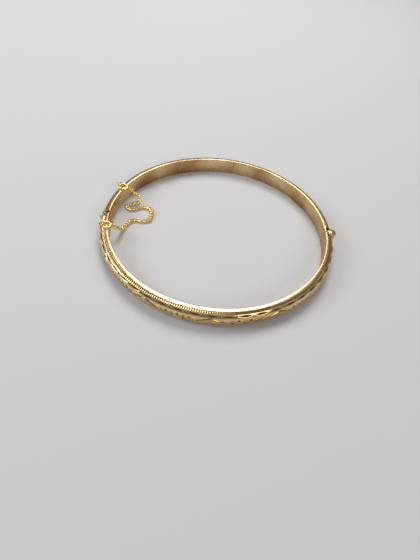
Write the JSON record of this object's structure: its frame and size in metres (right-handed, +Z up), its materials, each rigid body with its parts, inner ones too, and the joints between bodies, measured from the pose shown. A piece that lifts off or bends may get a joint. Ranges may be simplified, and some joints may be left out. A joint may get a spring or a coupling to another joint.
{
  "type": "bangle bracelet",
  "caption": "Oval hollow gold bangle, domed and engraved on the front half, hinged at one side, with a snap tongue clasp and a safety chain inside",
  "frame": {"origin": "centre of the oval on the surface it lies on, at the lower edge of the band", "axes": "+X from the clasp to the hinge, +Y towards the plain back half, +Z up across the band"},
  "size_m": [0.0684, 0.0642, 0.0066],
  "materials": {
    "yellow_gold": "polished 9 ct yellow gold",
    "satin_gold": "satin 9 ct gold on the inside of the band",
    "chain_gold": "bright yellower gold of the chain and rings"
  },
  "bodies": {
    "front_half": {"front_shell": "yellow_gold", "front_lining": "satin_gold", "front_hinge_plate": "yellow_gold", "front_knuckle_lower": "yellow_gold", "front_knuckle_upper": "yellow_gold", "hinge_pin": "yellow_gold", "catch_plate": "yellow_gold", "front_chain_eye": "chain_gold"},
    "back_half": {"back_shell": "yellow_gold", "back_lining": "satin_gold", "back_hinge_plate": "yellow_gold", "back_knuckle_middle": "yellow_gold", "tongue_end_plate": "yellow_gold", "tongue_lower_leaf": "yellow_gold", "back_chain_eye": "chain_gold"},
    "thumb_spring": {"tongue_spring_leaf": "yellow_gold", "thumb_piece": "yellow_gold"},
    "back_ring": {"back_jump_ring": "chain_gold"},
    "front_ring": {"front_jump_ring": "chain_gold"},
    "back_chain_run_1": {"chain_link_01": "chain_gold", "chain_link_02": "chain_gold"},
    "back_chain_run_2": {"chain_link_03": "chain_gold", "chain_link_04": "chain_gold", "chain_link_05": "chain_gold"},
    "back_chain_run_3": {"chain_link_06": "chain_gold", "chain_link_07": "chain_gold"},
    "back_chain_run_4": {"chain_link_08": "chain_gold", "chain_link_09": "chain_gold", "chain_link_10": "chain_gold"},
    "front_chain_run_1": {"chain_link_40": "chain_gold", "chain_link_39": "chain_gold"},
    "front_chain_run_2": {"chain_link_38": "chain_gold", "chain_link_37": "chain_gold", "chain_link_36": "chain_gold", "chain_link_35": "chain_gold", "chain_link_34": "chain_gold", "chain_link_33": "chain_gold", "chain_link_32": "chain_gold", "chain_link_31": "chain_gold", "chain_link_30": "chain_gold"},
    "front_chain_run_3": {"chain_link_29": "chain_gold", "chain_link_28": "chain_gold", "chain_link_27": "chain_gold"},
    "front_chain_run_4": {"chain_link_26": "chain_gold", "chain_link_25": "chain_gold"},
    "front_chain_run_5": {"chain_link_24": "chain_gold", "chain_link_23": "chain_gold", "chain_link_22": "chain_gold", "chain_link_21": "chain_gold"},
    "front_chain_run_6": {"chain_link_20": "chain_gold", "chain_link_19": "chain_gold"},
    "front_chain_run_7": {"chain_link_18": "chain_gold", "chain_link_17": "chain_gold", "chain_link_16": "chain_gold", "chain_link_15": "chain_gold", "chain_link_14": "chain_gold", "chain_link_13": "chain_gold"},
    "front_chain_run_8": {"chain_link_12": "chain_gold", "chain_link_11": "chain_gold"}
  },
  "joints": [
    {"name": "bangle_hinge", "type": "hinge", "parent": "front_half", "child": "back_half", "pos_m": [0.0329, 0, 0.0024], "axis": [0, 0, -1], "range_deg": [0, 21.91]},
    {"name": "thumb_press", "type": "hinge", "parent": "back_half", "child": "thumb_spring", "pos_m": [-0.03171, -0.00557, 0.0024], "axis": [0, 0, -1], "range_deg": [0, 2], "stiffness_Nm_per_rad": 0.05},
    {"name": "back_ring_swing", "type": "hinge", "parent": "back_half", "child": "back_ring", "pos_m": [-0.03015, 0.01121, 0.00564], "axis": [0, 0, -1], "range_deg": [-0.01, 12.02]},
    {"name": "front_ring_swing", "type": "hinge", "parent": "front_half", "child": "front_ring", "pos_m": [-0.03176, -0.00587, 0.00564], "axis": [0, 0, 1], "range_deg": [-0.01, 12.02]},
    {"name": "back_chain_run_1_swing", "type": "hinge", "parent": "back_ring", "child": "back_chain_run_1", "pos_m": [-0.02824, 0.01043, 0.00504], "axis": [-0.5597, -0.1977, -0.8048], "range_deg": [-0.01, 95.51]},
    {"name": "back_chain_run_2_swing", "type": "hinge", "parent": "back_chain_run_1", "child": "back_chain_run_2", "pos_m": [-0.02678, 0.01115, 0.00385], "axis": [0.6748, -0.5464, 0.4961], "range_deg": [-0.01, 24.01]},
    {"name": "back_chain_run_3_swing", "type": "hinge", "parent": "back_chain_run_2", "child": "back_chain_run_3", "pos_m": [-0.025, 0.0112, 0.00149], "axis": [0.7894, -0.1659, 0.5911], "range_deg": [-0.01, 63.78]},
    {"name": "back_chain_run_4_swing", "type": "hinge", "parent": "back_chain_run_3", "child": "back_chain_run_4", "pos_m": [-0.02471, 0.00958, 0.00065], "axis": [0.155, -0.4335, 0.8877], "range_deg": [-0.01, 77.61]},
    {"name": "front_chain_run_1_swing", "type": "hinge", "parent": "front_ring", "child": "front_chain_run_1", "pos_m": [-0.02974, -0.00546, 0.00504], "axis": [0.5795, -0.2883, 0.7623], "range_deg": [-0.01, 58.77]},
    {"name": "front_chain_run_2_swing", "type": "hinge", "parent": "front_chain_run_1", "child": "front_chain_run_2", "pos_m": [-0.02809, -0.00511, 0.00392], "axis": [-0.5251, -0.1838, -0.8309], "range_deg": [-0.01, 48.13]},
    {"name": "front_chain_run_3_swing", "type": "hinge", "parent": "front_chain_run_2", "child": "front_chain_run_3", "pos_m": [-0.02515, 0.00173, 0.00055], "axis": [0.0178, 0.4363, 0.8996], "range_deg": [-0.01, 71]},
    {"name": "front_chain_run_4_swing", "type": "hinge", "parent": "front_chain_run_3", "child": "front_chain_run_4", "pos_m": [-0.0222, 0.00161, 0.00055], "axis": [0, 0, -1], "range_deg": [-0.01, 26.11]},
    {"name": "front_chain_run_5_swing", "type": "hinge", "parent": "front_chain_run_4", "child": "front_chain_run_5", "pos_m": [-0.0204, 0.0024, 0.00055], "axis": [0, 0, -1], "range_deg": [-0.01, 63.07]},
    {"name": "front_chain_run_6_swing", "type": "hinge", "parent": "front_chain_run_5", "child": "front_chain_run_6", "pos_m": [-0.02018, 0.00634, 0.00055], "axis": [0, 0, -1], "range_deg": [-0.01, 46.62]},
    {"name": "front_chain_run_7_swing", "type": "hinge", "parent": "front_chain_run_6", "child": "front_chain_run_7", "pos_m": [-0.02154, 0.00778, 0.00055], "axis": [0, 0, -1], "range_deg": [-0.01, 58.3]},
    {"name": "front_chain_run_8_swing", "type": "hinge", "parent": "front_chain_run_7", "child": "front_chain_run_8", "pos_m": [-0.02726, 0.0066, 0.00055], "axis": [0, 0, 1], "range_deg": [-0.01, 94.48]}
  ],
  "couplings": [
    {"joint": "back_ring_swing", "follows": "bangle_hinge", "ratio": 0.5477},
    {"joint": "front_ring_swing", "follows": "bangle_hinge", "ratio": 0.5477},
    {"joint": "back_chain_run_1_swing", "follows": "bangle_hinge", "ratio": 4.3583},
    {"joint": "back_chain_run_2_swing", "follows": "bangle_hinge", "ratio": 1.0951},
    {"joint": "back_chain_run_3_swing", "follows": "bangle_hinge", "ratio": 2.9102},
    {"joint": "back_chain_run_4_swing", "follows": "bangle_hinge", "ratio": 3.5413},
    {"joint": "front_chain_run_1_swing", "follows": "bangle_hinge", "ratio": 2.6813},
    {"joint": "front_chain_run_2_swing", "follows": "bangle_hinge", "ratio": 2.1959},
    {"joint": "front_chain_run_3_swing", "follows": "bangle_hinge", "ratio": 3.2396},
    {"joint": "front_chain_run_4_swing", "follows": "bangle_hinge", "ratio": 1.1907},
    {"joint": "front_chain_run_5_swing", "follows": "bangle_hinge", "ratio": 2.8778},
    {"joint": "front_chain_run_6_swing", "follows": "bangle_hinge", "ratio": 2.127},
    {"joint": "front_chain_run_7_swing", "follows": "bangle_hinge", "ratio": 2.6601},
    {"joint": "front_chain_run_8_swing", "follows": "bangle_hinge", "ratio": 4.3111}
  ]
}
